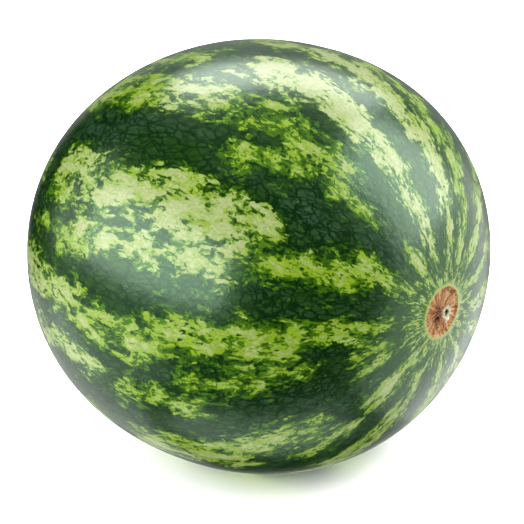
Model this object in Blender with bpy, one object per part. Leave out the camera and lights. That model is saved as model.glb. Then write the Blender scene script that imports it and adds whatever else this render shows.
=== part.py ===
"""Whole striped watermelon, picked and lying on its side.

The rind is one body, turned about the fruit's long axis, which lies along X.
The blossom end is at +X: a round corky scar, sunk inside a low lip, with the dried flower base in its middle.
The stem end is at -X: a shallow hollow that holds a short length of cut stem.
The origin is the middle of the small flat spot that the fruit rests on, and +Z is up.
All sizes are in metres.
"""

import math

import bmesh
import bpy
from mathutils import Matrix, Vector

# Driving dimensions of the fruit, before its ends are dished and its flat spot is cut
LENGTH = 0.250
WIDTH = 0.250
HEIGHT = 0.233
END_FULLNESS = 2.14
SECTION_FULLNESS = 2.04
BLOSSOM_HEAVINESS = 0.05
LOBE_HEIGHT = 0.0005

# The fullest girth, and the flat spot below it, lie this far from mid-length towards the blossom end
SPOT_AHEAD = 0.0065
SPOT_DEPTH = 0.0014

# Blossom scar: a corky disc inside a low lip, dished towards a flat seat for the dried flower base
SCAR_RADIUS = 0.0150
SCAR_STEP = 0.0008
SCAR_STEP_WIDTH = 0.0016
SCAR_DISH = 0.0014
SCAR_LEAN = 0.045
SCAR_LEAN_ANGLE = math.radians(140)
LIP_HEIGHT = 0.0005
LIP_WIDTH = 0.0055
WRINKLES = 18
WRINKLE_HEIGHT = 0.00035
SEAT_RADIUS = 0.0036

# Stem end: a rounded hollow with a flat seat for the stem
HOLLOW_RADIUS = 0.024
HOLLOW_DEPTH = 0.0042
STEM_SEAT_RADIUS = 0.0066

# Pieces that stand on a seat keep this gap to it
SEAT_GAP = 0.0003

# Dried flower base: a torn pale cup
CUP_HEIGHT = 0.0050
CUP_RADIUS = 0.0037
CUP_HOLE_RADIUS = 0.0016
CUP_HOLE_DEPTH = 0.0030
TOOTH_HEIGHT = 0.0007
TONGUE_REACH = 0.0034
TONGUE_DROP = 0.0016
TONGUE_ANGLE = math.radians(-80)
TONGUE_SPREAD = math.radians(28)

# Cut stem: five-ridged, wider at its foot, a little bent
STEM_LENGTH = 0.0150
STEM_RADIUS = 0.0042
STEM_FOOT_RADIUS = 0.0061
STEM_RIDGES = 5
STEM_RIDGE_SHARE = 0.09
STEM_BEND = 0.0016
STEM_CUT_DISH = 0.0009

# How finely each piece is faceted
RIND_SEGMENTS = 72
CUP_SEGMENTS = 28
STEM_SEGMENTS = 30
GIRTH_STEP = math.radians(6)

AXIS_HEIGHT = HEIGHT / 2 - SPOT_DEPTH
POWER = 2 / END_FULLNESS
MERGE = 1e-6
ON_PLANE = 0.0002


def clear_scene():
    for item in list(bpy.data.objects):
        bpy.data.objects.remove(item)


def finish(name, colour, roughness):
    """A Principled material in one colour."""
    made = bpy.data.materials.new(name)
    made.use_nodes = True
    shader = made.node_tree.nodes["Principled BSDF"]
    shader.inputs["Base Color"].default_value = (*colour, 1)
    shader.inputs["Roughness"].default_value = roughness
    shader.inputs["Metallic"].default_value = 0
    return made


def add_object(name, mesh_data, material):
    """Puts a finished bmesh in the scene as one smooth-shaded object."""
    bmesh.ops.recalc_face_normals(mesh_data, faces=mesh_data.faces)
    mesh = bpy.data.meshes.new(name)
    mesh_data.to_mesh(mesh)
    mesh_data.free()
    mesh.materials.append(material)
    mesh.shade_smooth()
    mesh.set_sharp_from_angle(angle=math.radians(50))
    made = bpy.data.objects.new(name, mesh)
    bpy.context.scene.collection.objects.link(made)
    return made


def ease(value, low, high):
    """0 below low, 1 above high, and a smooth rise between them."""
    share = min(max((value - low) / (high - low), 0), 1)
    return share * share * (3 - 2 * share)


def turned(profile, axis, segments):
    """A closed body turned from (along, out) points that begin and end on the axis."""
    across = Vector((0, 0, 1)) if axis.x else Vector((1, 0, 0))
    body = bmesh.new()
    line = [body.verts.new(axis * along + across * out) for along, out in profile]
    edges = [body.edges.new(pair) for pair in zip(line, line[1:])]
    bmesh.ops.spin(
        body,
        geom=line + edges,
        cent=(0, 0, 0),
        axis=axis,
        angle=math.tau,
        steps=segments,
        use_merge=True,
    )
    bmesh.ops.remove_doubles(body, verts=body.verts, dist=MERGE)
    return body


def profile_point(angle):
    """Place along the axis and distance from it, at an angle from the blossom end."""
    cosine = math.cos(angle)
    along = math.copysign(abs(cosine) ** POWER, cosine) * LENGTH / 2
    out = abs(math.sin(angle)) ** POWER * (1 + BLOSSOM_HEAVINESS * cosine) * WIDTH / 2
    return along, out


def angle_at(radius, heaviness):
    """The angle from the nearer end at which the rind is this far from its axis."""
    share = radius / (WIDTH / 2 * (1 + heaviness))
    return math.asin(share ** (END_FULLNESS / 2))


def rind_angles():
    """Angles of the turned rings: close together at both ends, even over the girth."""
    step_foot = SCAR_RADIUS - SCAR_STEP_WIDTH
    dish = [SEAT_RADIUS + (step_foot - SEAT_RADIUS) * share for share in (0, 0.12, 0.34, 0.58, 0.82, 1)]
    step = [step_foot + SCAR_STEP_WIDTH * share for share in (0.33, 0.67, 1)]
    lip = [SCAR_RADIUS + LIP_WIDTH * share for share in (0.2, 0.45, 0.7, 1)]
    blossom = [angle_at(radius, BLOSSOM_HEAVINESS) for radius in dish + step + lip]
    hollow = [STEM_SEAT_RADIUS + (HOLLOW_RADIUS - STEM_SEAT_RADIUS) * share for share in (0, 0.2, 0.45, 0.72, 1)]
    stem = [math.pi - angle_at(radius, -BLOSSOM_HEAVINESS) for radius in reversed(hollow)]
    rings = math.ceil((stem[0] - blossom[-1]) / GIRTH_STEP)
    girth = [blossom[-1] + (stem[0] - blossom[-1]) * ring / rings for ring in range(1, rings)]
    return [0, *blossom, *girth, *stem, math.pi]


def section_share(around):
    """How much fuller than an ellipse the girth is in a direction around the axis."""
    sides = abs(math.cos(around)) ** SECTION_FULLNESS + abs(math.sin(around)) ** SECTION_FULLNESS
    return sides ** (-1 / SECTION_FULLNESS)


def lobes(angle, around):
    """Low broad swellings that keep the girth from being perfectly round."""
    waves = 0.6 * math.cos(5 * around + 0.4) + 0.4 * math.cos(3 * around + 1.9 + math.cos(angle))
    return LOBE_HEIGHT * math.sin(angle) ** 2 * waves


def scar_height(radius, around):
    """How far the scar, its lip and its wrinkles stand out from the plain end, at a distance from the axis."""
    step_foot = SCAR_RADIUS - SCAR_STEP_WIDTH
    lip = LIP_HEIGHT * (1 - ease(radius, SCAR_RADIUS, SCAR_RADIUS + LIP_WIDTH))
    drop = SCAR_STEP + LIP_HEIGHT
    step = drop * (1 - ease(radius, step_foot, SCAR_RADIUS))
    dish = SCAR_DISH * (1 - ease(radius, SEAT_RADIUS, step_foot))
    folded = ease(radius, SEAT_RADIUS, SEAT_RADIUS * 1.8) * (1 - ease(radius, step_foot * 0.9, step_foot))
    fold = math.cos(WRINKLES * around + 0.9) * (0.75 + 0.25 * math.cos(3 * around + 0.5))
    return lip - step - dish + WRINKLE_HEIGHT * folded * fold


def hollow_height(radius):
    """How far the stem end's hollow lies below the plain end, at a distance from the axis."""
    return -HOLLOW_DEPTH * (1 - ease(radius, STEM_SEAT_RADIUS, HOLLOW_RADIUS))


def scar_lean(radius, around):
    """How much further from the middle the scar's edge lies on its fuller side."""
    near = ease(radius, SEAT_RADIUS, SCAR_RADIUS) * (1 - ease(radius, SCAR_RADIUS, SCAR_RADIUS * 2))
    return 1 + SCAR_LEAN * near * math.cos(around - SCAR_LEAN_ANGLE)


def seat_x(radius, sign):
    """Where a flat seat of this radius lies along the axis."""
    along = profile_point(angle_at(radius, sign * BLOSSOM_HEAVINESS))[0]
    depth = scar_height(radius, 0) if sign > 0 else hollow_height(radius)
    return sign * (along + depth)


def shape_rind(body):
    """Gives the turned body its squat section, lobes, scar and hollow, with a flat seat at each end."""
    blossom_seat = seat_x(SEAT_RADIUS, 1)
    stem_seat = seat_x(STEM_SEAT_RADIUS, -1)
    for vert in body.verts:
        along, radius = vert.co.x, math.hypot(vert.co.y, vert.co.z)
        around = math.atan2(vert.co.z, vert.co.y)
        angle = math.atan2(radius / WIDTH, along / LENGTH)
        grown = radius * section_share(around) + lobes(angle, around)
        if along > 0:
            grown *= scar_lean(radius, around)
            along = blossom_seat if radius < SEAT_RADIUS + MERGE else along + scar_height(radius, around)
        else:
            along = stem_seat if radius < STEM_SEAT_RADIUS + MERGE else along - hollow_height(radius)
        vert.co = (along, grown * math.cos(around), grown * math.sin(around) * HEIGHT / WIDTH)


def cut_flat_spot(body):
    """Cuts the underside at the resting plane and closes it with one flat face."""
    bmesh.ops.bisect_plane(
        body,
        geom=[*body.verts, *body.edges, *body.faces],
        dist=ON_PLANE,
        plane_co=(0, 0, -AXIS_HEIGHT),
        plane_no=(0, 0, -1),
        clear_outer=True,
    )
    rim = [edge for edge in body.edges if edge.is_boundary]
    for vert in {vert for edge in rim for vert in edge.verts}:
        vert.co.z = -AXIS_HEIGHT
    bmesh.ops.contextual_create(body, geom=rim)


def make_fruit():
    """The rind, from the blossom scar to the hollow round the stem."""
    profile = [profile_point(angle) for angle in rind_angles()]
    profile[0] = (profile[0][0], 0)
    profile[-1] = (profile[-1][0], 0)
    body = turned(profile, Vector((1, 0, 0)), RIND_SEGMENTS)
    shape_rind(body)
    cut_flat_spot(body)
    fruit = add_object("fruit", body, finish("waxy striped rind", (0.045, 0.155, 0.035), 0.36))
    fruit.location = (-SPOT_AHEAD, 0, AXIS_HEIGHT)
    return fruit


def tongue_share(around):
    """1 in the middle of the cup's torn tongue and 0 away from it."""
    off = abs((around - TONGUE_ANGLE + math.pi) % math.tau - math.pi)
    return 1 - ease(off, 0, TONGUE_SPREAD)


def tear_cup(body):
    """Tears the cup's edge into teeth and pulls one side of it out and down as a tongue."""
    for vert in body.verts:
        radius, around = math.hypot(vert.co.x, vert.co.y), math.atan2(vert.co.y, vert.co.x)
        high = vert.co.z / CUP_HEIGHT
        tooth = 0.6 * math.cos(7 * around + 0.8) + 0.4 * math.cos(3 * around)
        pulled = tongue_share(around) * ease(radius, CUP_HOLE_RADIUS, CUP_RADIUS) * ease(high, 0.35, 0.8)
        reach = radius * (1 + 0.07 * math.cos(4 * around + 1.1)) + TONGUE_REACH * pulled
        lift = TOOTH_HEIGHT * tooth * ease(high, 0.5, 1) - TONGUE_DROP * pulled
        vert.co = (reach * math.cos(around), reach * math.sin(around), vert.co.z + lift)


def make_flower_base(fruit):
    """The dried flower base, a torn cup standing on the seat in the scar."""
    outside = ((0, 0.80), (0.22, 0.86), (0.50, 0.82), (0.78, 0.94), (0.97, 1.0))
    profile = [(0, 0)] + [(CUP_HEIGHT * high, CUP_RADIUS * wide) for high, wide in outside]
    hole_floor = CUP_HEIGHT - CUP_HOLE_DEPTH
    profile += [
        (CUP_HEIGHT, CUP_RADIUS * 0.78),
        (CUP_HEIGHT * 0.93, CUP_HOLE_RADIUS * 1.2),
        (hole_floor + CUP_HOLE_DEPTH * 0.35, CUP_HOLE_RADIUS),
        (hole_floor, CUP_HOLE_RADIUS * 0.7),
        (hole_floor, 0),
    ]
    body = turned(profile, Vector((0, 0, 1)), CUP_SEGMENTS)
    tear_cup(body)
    cup = add_object("dried_flower_base", body, finish("dry flower tissue", (0.72, 0.66, 0.42), 0.75))
    cup.parent = fruit
    # The cup's own up is the fruit's +X, and its X is the fruit's +Y
    cup.matrix_basis = Matrix(((0, 0, 1), (1, 0, 0), (0, 1, 0))).to_4x4()
    cup.location = (seat_x(SEAT_RADIUS, 1) + SEAT_GAP, 0, 0)


def bend_stem(body):
    """Raises the stem's ridges and leans its cut end to one side."""
    for vert in body.verts:
        radius, around = math.hypot(vert.co.x, vert.co.y), math.atan2(vert.co.y, vert.co.x)
        share = vert.co.z / STEM_LENGTH
        ridged = radius * (1 + STEM_RIDGE_SHARE * math.cos(STEM_RIDGES * around))
        lean = STEM_BEND * share * share
        vert.co.x = ridged * math.cos(around) + lean
        vert.co.y = ridged * math.sin(around)


def make_stem(fruit):
    """The cut stem, standing on the seat in the stem end's hollow."""
    foot = STEM_FOOT_RADIUS / STEM_RADIUS
    outside = ((0, foot), (0.10, foot * 0.93), (0.26, 1.12), (0.5, 0.98), (0.78, 0.97), (1, 1.06))
    profile = [(0, 0)] + [(STEM_LENGTH * high, STEM_RADIUS * wide) for high, wide in outside]
    profile += [(STEM_LENGTH, STEM_RADIUS * 0.86), (STEM_LENGTH - STEM_CUT_DISH, STEM_RADIUS * 0.45)]
    profile += [(STEM_LENGTH - STEM_CUT_DISH, 0)]
    body = turned(profile, Vector((0, 0, 1)), STEM_SEGMENTS)
    bend_stem(body)
    stem = add_object("cut_stem", body, finish("drying stem", (0.30, 0.27, 0.12), 0.8))
    stem.parent = fruit
    # The stem's own up is the fruit's -X, and it leans towards the fruit's +Z
    stem.matrix_basis = Matrix(((0, 0, -1), (0, 1, 0), (1, 0, 0))).to_4x4()
    stem.location = (seat_x(STEM_SEAT_RADIUS, -1) - SEAT_GAP, 0, 0)


def main():
    clear_scene()
    fruit = make_fruit()
    make_flower_base(fruit)
    make_stem(fruit)


main()
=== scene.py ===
"""Looks of a whole striped watermelon: waxy rind, corky scar, dried flower base and cut stem.

Directions on the rind are given as on a globe whose poles are the fruit's ends. "From the blossom" is the
angle from the +X end, and "up" is the angle about that axis, from the front (-Y) over the top.
All sizes are in metres unless a name says mm.
"""

import math
import random
from functools import partial

import bpy
import numpy as np
from bpy.props import FloatProperty, FloatVectorProperty, IntProperty, PointerProperty
from bpy.types import NodeSocket, Operator, Panel, PropertyGroup
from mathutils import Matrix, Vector, noise


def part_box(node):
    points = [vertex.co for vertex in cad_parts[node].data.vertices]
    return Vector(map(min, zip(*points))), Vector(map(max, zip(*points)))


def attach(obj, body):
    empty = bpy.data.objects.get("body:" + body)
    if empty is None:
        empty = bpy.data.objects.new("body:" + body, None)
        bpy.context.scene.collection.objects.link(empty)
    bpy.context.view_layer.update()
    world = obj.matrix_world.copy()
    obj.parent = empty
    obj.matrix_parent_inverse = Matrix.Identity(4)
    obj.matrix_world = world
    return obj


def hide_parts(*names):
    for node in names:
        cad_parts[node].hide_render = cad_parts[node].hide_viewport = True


bl_info = {
    "name": "Watermelon looks",
    "version": (1, 0, 0),
    "blender": (4, 5, 0),
    "location": "3D View > Sidebar > Watermelon",
    "description": "Models and finishes a whole striped watermelon around its packed solids",
    "category": "Object",
}

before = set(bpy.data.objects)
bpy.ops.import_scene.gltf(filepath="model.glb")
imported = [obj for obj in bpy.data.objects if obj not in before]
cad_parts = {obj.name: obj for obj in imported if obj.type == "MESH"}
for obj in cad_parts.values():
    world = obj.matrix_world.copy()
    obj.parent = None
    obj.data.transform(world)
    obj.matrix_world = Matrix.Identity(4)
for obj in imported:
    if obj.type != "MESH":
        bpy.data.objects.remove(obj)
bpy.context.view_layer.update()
FLOWER_BASE_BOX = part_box("dried_flower_base")
STEM_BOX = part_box("cut_stem")

# Shape of the fruit, the same as its solid's
END_FULLNESS = 2.14
SECTION_FULLNESS = 2.04
BLOSSOM_HEAVINESS = 0.05
LOBE_HEIGHT = 0.0005
SPOT_AHEAD = 0.0065
SPOT_DEPTH = 0.0014
SCAR_STEP = 0.0008
SCAR_STEP_WIDTH = 0.0016
SCAR_DISH = 0.0014
SCAR_LEAN = 0.045
SCAR_LEAN_ANGLE = math.radians(140)
LIP_HEIGHT = 0.0005
LIP_WIDTH = 0.0055
SEAT_RADIUS = 0.0036
HOLLOW_RADIUS = 0.024
HOLLOW_DEPTH = 0.0042
STEM_SEAT_RADIUS = 0.0066

# Relief of the scar's cork: lumps and grain all over, creases from its middle outwards, and a rise of it all
LUMP_HEIGHT = 0.00030
GRAIN_HEIGHT = 0.00016
COARSE_CREASE_DEPTH = 0.00062
FINE_CREASE_DEPTH = 0.00018
CORK_RISE = 0.00020

# The fold beside the flower base and the swelling under it: height, then middle and half width across and up
SCAR_FOLD = (-0.0017, -0.0006, 0.0034, -0.0040, 0.0011)
SCAR_SWELLING = (0.0012, 0.0014, 0.0028, -0.0080, 0.0027)

# Rings of faces from one end of the rind to the other
RINGS = 220

# Light marks that the photograph shows, in degrees: from and to, counted from the blossom, up, half width,
# and then how pale they are, from 0 for lime to 1 for cream
SEEN_MARKS = (
    (18, 27, 9, 4.5, 0.3), (19, 25, -6, 6.0, 0.4), (20, 25, -16, 4.5, 0.4),
    (28, 44, 8, 5.0, 0.2), (43, 60, 5, 5.6, 0.3), (58, 78, 4, 5.6, 0.3), (78, 98, 0, 5.2, 0.4),
    (100, 122, 5, 5.0, 0.7), (116, 136, 5, 6.2, 1.0),
    (36, 50, -7, 2.6, 0.2), (50, 70, -9, 2.4, 0.2), (66, 90, -16, 2.8, 0.5), (94, 122, -13, 4.0, 0.9),
    (14, 34, 40, 5.6, 0.5), (30, 46, 32, 4.2, 0.2), (45, 58, 31, 4.4, 0.3), (54, 64, 38, 4.4, 0.8),
    (60, 86, 37, 7.6, 1.0), (60, 106, 24, 3.2, 0.8), (86, 106, 36, 6.6, 0.8), (104, 119, 39, 5.6, 1.0),
    (112, 120, 32, 4.2, 0.4), (101, 111, 20, 3.4, 0.3), (117, 124, 21, 2.0, 0.3),
    (10, 18, 64, 6.0, 0.6), (34, 46, 61, 2.8, 0.3), (48, 63, 66, 5.4, 0.2), (60, 76, 70, 3.8, 0.4),
    (56, 66, 58, 3.4, 0.2), (68, 74, 56, 2.8, 0.5), (74, 86, 67, 3.2, 0.4), (84, 98, 68, 4.8, 1.0),
    (101, 131, 67, 5.8, 0.3), (108, 128, 73, 4.0, 0.2),
    (14, 60, 84, 4.6, 1.0), (56, 85, 85, 6.2, 1.3), (99, 117, 84, 4.8, 0.4),
    (12, 48, 107, 4.4, 1.0), (44, 84, 104, 4.8, 1.2), (82, 98, 102, 3.6, 0.7), (10, 24, 124, 5.5, 0.6),
    (28, 46, 122, 4.6, 0.5), (44, 60, 118, 3.0, 0.4), (60, 78, 115, 2.8, 0.3),
    (30, 46, 143, 4.8, 0.4), (12, 30, 145, 4.6, 0.8),
    (10, 25, -42, 8.6, 0.6), (33, 48, -46, 4.2, 0.5), (40, 62, -33, 4.6, 0.4), (55, 90, -36, 5.4, 0.5),
    (62, 92, -41, 4.4, 0.8), (16, 62, -68, 6.0, 0.6),
)

# Bands of light marks where the photograph doesn't reach, in degrees: up, half width, from and to
UNSEEN_BANDS = (
    (3, 6, 137, 163), (34, 8, 137, 163), (65, 6, 136, 163), (86, 5, 129, 163), (103, 5, 98, 160),
    (120, 6, 76, 162), (144, 7, 46, 163), (168, 6, 10, 163), (192, 7, 12, 162), (216, 6, 10, 163),
    (240, 8, 12, 163), (266, 7, 14, 160), (291, 6, 62, 162), (319, 7, 100, 163), (346, 5, 126, 160),
)
MARK_SEED = 11

# A mark's field is 0 at its edge. Inwards it rises by one over the slope's distance and levels out below the
# plateau. Outwards it falls to the least, and only a share of its fall counts. The growth widens each mark
MARK_SLOPE = 0.0085
MARK_PLATEAU = 0.75
MARK_LEAST = -2.0
MARK_FALL_SHARE = 0.8
MARK_GROWTH = 0.06

# How pale the skin counts far from every mark, and how weakly it does
FAR_PALENESS = 0.4
FAR_WEIGHT = 1e-6

# How much more broken up the lime marks are than the cream ones
LIME_GAPS = 0.3

# The least that the field and the paleness are close round the scar, where thin pale streaks run together,
# how much less they are further out, and how far that is
HALO = 0.1
HALO_FALL = 1.5
HALO_PALENESS = 0.9
HALO_PALENESS_FALL = 0.6
HALO_RADIUS = 0.060

# Distances from the middle of the blossom at which the net of veins begins and is all there
VEINS_BEGIN = 0.024
VEINS_FULL = 0.060

# The pale ground spot: radius of its plain middle, radius where it ends, and its length for its width
GROUND_MIDDLE = 0.012
GROUND_END = 0.042
GROUND_LENGTH = 1.25

# How far outside the scar's radius the cork, its lip and the fresh green round them begin to fade and end,
# and how much of each shows. Their edges wander by the raggedness
CORK_EDGE = (-0.0008, 0.0002, 1)
LIP_EDGE = (0.0005, 0.0020, 0.9)
FRESH_EDGE = (0.0010, 0.0040, 0.5)
EDGE_RAGGEDNESS = 0.0008

# Finish of the waxy skin and of the dry cork, which has no wax, and the height of their fine relief
SKIN_ROUGHNESS = 0.28
CORK_ROUGHNESS = 0.7
WAX_WEIGHT = 0.5
WAX_ROUGHNESS = 0.23
RIPPLE_HEIGHT = 0.00018
STREAK_HEIGHT = 0.0006

# How well the pattern keeps its width towards the fruit's ends: 0 to crowd together as a globe's lines do,
# 1 to keep it all
EVENNESS = 0.25

# Every pattern is drawn out along the fruit, where lengths count as this share, and bent this far by a swirl
LENGTH_SHARE = 0.64
SWIRL_PUSH = 0.008

# How strongly the lace, the grains, the frayed threads and the cells' edges move the edges of light marks
LACE_STRENGTH = 5.3
GRAIN_STRENGTH = 0.95
THREAD_STRENGTH = 0.5
LIME_THREAD_STRENGTH = 0.7
CELL_EDGE_STRENGTH = -0.34

# Widths in mm, on the real fruit, of what the rind's patterns draw
SWIRL_MM = 10.526
LACE_MM = 9.434
CELL_MM = 3.846
WIDE_CELL_MM = 7.246
GRAIN_MM = 2.381
THREAD_MM = 2.778
PATCH_MM = 14.286
MURK_MM = 2.381
DRIFT_MM = 22.22
BLOTCH_MM = 6.667
SPECK_MM = 1.4286
CORK_STREAK_MM = 16.13
RIPPLE_MM = 6.25

# Profile of the flower base, from its foot over the thick torn rim and down into its hollow: place along the
# profile, height as a share of the rim's, and radius
BASE_PROFILE = (
    (0, 0, 0.0030), (0.1, 0.2, 0.0027), (0.26, 0.6, 0.0028), (0.38, 0.88, 0.0033), (0.46, 1, 0.0031),
    (0.54, 1.02, 0.0026), (0.6, 0.95, 0.0022), (0.7, 0.75, 0.0019), (0.88, 0.34, 0.0016), (1, 0.32, 0),
)
BASE_RIM = 0.0046
BASE_LEAN = 0.0009
BASE_CRUMPLE = 0.00034
HOLE_NARROWNESS = 0.78
AXIS_HEIGHT = 0.1151

# Torn points on its rim
SHRED_SEED = 4
SHREDS = 21
SHRED_LEANS = (10, 80)
SHRED_LENGTHS = (0.0014, 0.0030)
SHRED_RADII = (0.0004, 0.0007)
SHRED_TIP = 0.00003
SHRED_CIRCLE = 0.0029

# Torn strip that hangs from its rim, towards the floor
TAIL_ANGLE = math.radians(-82)
TAIL_START = 0.0026
TAIL_LENGTH = 0.0036
TAIL_HALF_WIDTH = 0.0015
TAIL_NARROWING = 0.0011
TAIL_DROP = 0.0010
TAIL_WAVE = 0.0005
TAIL_CURL = 0.0004
TAIL_CRUMPLE = 0.00015

# Profile of the stem, from its foot to its cut end and in to the end's middle: place along the profile,
# length as a share of the whole, and radius
STEM_PROFILE = (
    (0, 0, 0.0060), (0.08, 0.07, 0.0053), (0.2, 0.22, 0.0044), (0.45, 0.6, 0.0040), (0.68, 0.975, 0.0042),
    (0.73, 1, 0.0041), (0.78, 0.985, 0.0038), (1, 0.945, 0),
)
STEM_BEND = 0.0016
STEM_RIDGES = 5
STEM_TWIST = 0.25
STEM_WRINKLE = 0.00025
CUT_ROUGHNESS = 0.00012

# Widths in mm of the dried tissue's fibres, of the stem's dry patches and of the vessels in its cut end.
# The real fibres are finer, and are drawn as coarse as they need to show
BASE_FIBRE_MM = 0.5556
STEM_FIBRE_MM = 0.9091
STEM_PATCH_MM = 4.545
VESSEL_MM = 0.6667

# Where the photograph was taken from: round from the front (-Y) to the right, and degrees up
CAMERA_AROUND = math.radians(37.6)
CAMERA_UP = 24.4
SENSOR_WIDTH_MM = 36

# The fruit's middle lies this far left of and above the picture's middle
PICTURE_LEFT = 0.0036
PICTURE_ABOVE = 0.0050

# The paper floor, and the share of light that it sends back
FLOOR_SIZE = 2.4
PAPER_WHITENESS = 0.90

# The lights without an edge, in degrees: right of the camera and up, and how wide each one seems
FILL_PLACE = (40, 54)
FILL_WIDTH = 80
BOUNCE_WIDTH = 150
FLOOR_LIGHT_PLACE = (-90, 80)
FLOOR_LIGHT_WIDTH = 130

# Softboxes and white cards: name, degrees right of the camera, degrees up, distance, degrees wide,
# degrees high, and brightness
SOFTBOXES = (
    ("left_softbox", -57, 18, 1.5, 76, 38, 3.0),
    ("left_edge_softbox", -107, 13, 1.5, 26, 40, 0.75),
    ("right_softbox", 101, 29, 1.6, 42, 52, 3.3),
    ("rear_softbox", 172, 42, 1.6, 52, 22, 3.3),
    ("rear_left_softbox", -160, 48, 1.6, 24, 18, 1.1),
    ("rear_right_softbox", 140, 38, 1.6, 24, 20, 0.4),
    ("overhead_softbox", 180, 84, 1.5, 50, 50, 0.12),
    ("rear_card", 164, -12, 2.0, 76, 60, 0.3),
    ("low_right_card", 109, -26, 1.6, 72, 54, 0.75),
    ("low_rear_right_card", 160, -40, 1.6, 50, 26, 0.25),
    ("low_left_card", -88, -30, 1.6, 60, 28, 0.6),
    ("low_rear_card", -130, -42, 1.6, 48, 36, 0.6),
    ("under_card", 0, -78, 1.5, 60, 34, 0.7),
)


def linear(code):
    """A colour written as sRGB hex, in the linear values that shaders use."""
    levels = [int(code[place : place + 2], 16) / 255 for place in (1, 3, 5)]
    return tuple(level / 12.92 if level <= 0.04045 else ((level + 0.055) / 1.055) ** 2.4 for level in levels)


def size_property(name, description, default):
    return FloatProperty(
        name=name, description=description, default=default, min=0, unit="LENGTH", precision=4
    )


def level_property(name, description, default):
    return FloatProperty(name=name, description=description, default=default, min=0)


def colour_property(name, description, code):
    return FloatVectorProperty(
        name=name, description=description, default=linear(code), min=0, max=1, subtype="COLOR"
    )


class RindSettings(PropertyGroup):
    """Sizes and colours of the rind and its blossom scar."""

    length: size_property("Length", "Length of the fruit before its ends are dished", 0.250)
    width: size_property("Width", "Width of the fruit", 0.250)
    height: size_property("Height", "Height of the fruit before its flat spot is cut", 0.233)
    scar_radius: size_property("Scar radius", "Radius of the corky blossom scar", 0.0150)
    segments: IntProperty(name="Segments", description="Faces round the rind", default=384, min=48)
    vein: colour_property("Vein", "Darkest green, in the net of veins", "#062D05")
    dark: colour_property("Dark green", "Green between the veins of the dark bands", "#274F0E")
    dull: colour_property("Dull green", "Greyer green in parts of the dark bands", "#365838")
    mid: colour_property("Leaf green", "Green round the edges of the light marks", "#528600")
    lime: colour_property("Lime", "Yellow green of thin light marks", "#98C01C")
    cream: colour_property("Cream", "Palest green, in the middle of wide light marks", "#BECF86")
    gloss: colour_property("Gloss", "Tint of the gloss on the dark bands", "#C6FFD2")
    # Painted highlight: the light cork colour on the raised streaks of the scar
    cork_highlight: colour_property("Light cork", "Raised streaks of the scar's cork", "#F4C88C")
    cork: colour_property("Cork", "Cork of the scar", "#B85C26")
    # Painted shade: the dark cork colour in the creases, the deep fold and the low streaks
    cork_shade: colour_property("Dark cork", "Folds in the cork", "#401C0A")
    lip: colour_property("Lip", "Skin of the lip round the scar", "#C2C65C")
    fresh: colour_property("Fresh green", "Skin close round that lip", "#6FA544")
    ground: colour_property("Ground spot", "Pale spot that lay on the ground", "#D8CE86")


class FlowerBaseSettings(PropertyGroup):
    """Sizes and colours of the dried flower base."""

    wall: size_property("Wall", "Thickness of the papery wall", 0.00055)
    pale: colour_property("Papery cream", "Outside of the dried flower base", "#FFFBE0")
    # Partly brown of decayed fibres in random streaks, and partly painted shade low on the foot
    shade: colour_property("Brown shade", "Dirt and decay low in its folds", "#9A5E30")
    # Painted shade: near black down in the hollow and in cracks on the foot
    inside: colour_property("Inside", "Bottom of its hollow", "#160D06")


class StemSettings(PropertyGroup):
    """Sizes and colours of the cut stem."""

    green: colour_property("Olive", "Skin of the stem that is still green", "#6F7A3A")
    brown: colour_property("Dry brown", "Skin of the stem that has dried", "#8B7448")
    cut: colour_property("Cut end", "Fibres of the cut end", "#C9B98A")
    ring: colour_property("Ring", "Darker ring of vessels in the cut end", "#7A6034")


class StageSettings(PropertyGroup):
    """Places of the camera and strengths of the studio's lights."""

    camera_distance: size_property("Camera distance", "From the camera to the middle of the fruit", 1.6)
    lens: FloatProperty(name="Lens", description="Focal length in mm", default=199.5, min=10)
    brightness: level_property("Brightness", "Brightness of all the softboxes", 1)
    fill: level_property("Fill", "Wide, weak light from the front", 1.1)
    bounce: level_property("Bounce", "Light that comes back up from the floor", 2.1)
    floor: level_property("Floor", "Light that falls on the floor alone", 10.5)


def ease(value, low, high):
    """0 below low, 1 above high, and a smooth rise between them."""
    share = np.clip((value - low) / (high - low), 0, 1)
    return share * share * (3 - 2 * share)


def scale_of(width_mm):
    """How many times in a metre a pattern repeats whose parts are this wide."""
    return 1000 / width_mm


def add_node(tree, kind, links=None, output=0, **settings):
    """Adds a shader node with its settings, links or sets the inputs named in links, and gives an output."""
    made = tree.nodes.new("ShaderNode" + kind)
    for name, value in settings.items():
        setattr(made, name, value)
    for place, value in (links or {}).items():
        if isinstance(value, NodeSocket):
            tree.links.new(value, made.inputs[place])
        else:
            made.inputs[place].default_value = value
    return made.outputs[output] if made.outputs else None


def start_material(name):
    """An empty node material, and what adds a node to it."""
    made = bpy.data.materials.new(name)
    made.use_nodes = True
    made.node_tree.nodes.clear()
    return made, partial(add_node, made.node_tree)


def opaque(colour):
    return (*colour, 1)


def deselect():
    bpy.ops.object.select_all(action="DESELECT")


def points_of(mesh):
    places = np.empty(len(mesh.vertices) * 3)
    mesh.vertices.foreach_get("co", places)
    return places.reshape(-1, 3)


def set_points(mesh, places):
    mesh.vertices.foreach_set("co", places.astype(np.float32).ravel())
    mesh.update()


def keep_values(mesh, name, kind, values):
    """Stores one value or vector for each vertex, for the material to read."""
    layer = mesh.attributes.new(name, kind, "POINT")
    layer.data.foreach_set("vector" if kind == "FLOAT_VECTOR" else "value", values.astype(np.float32).ravel())


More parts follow.
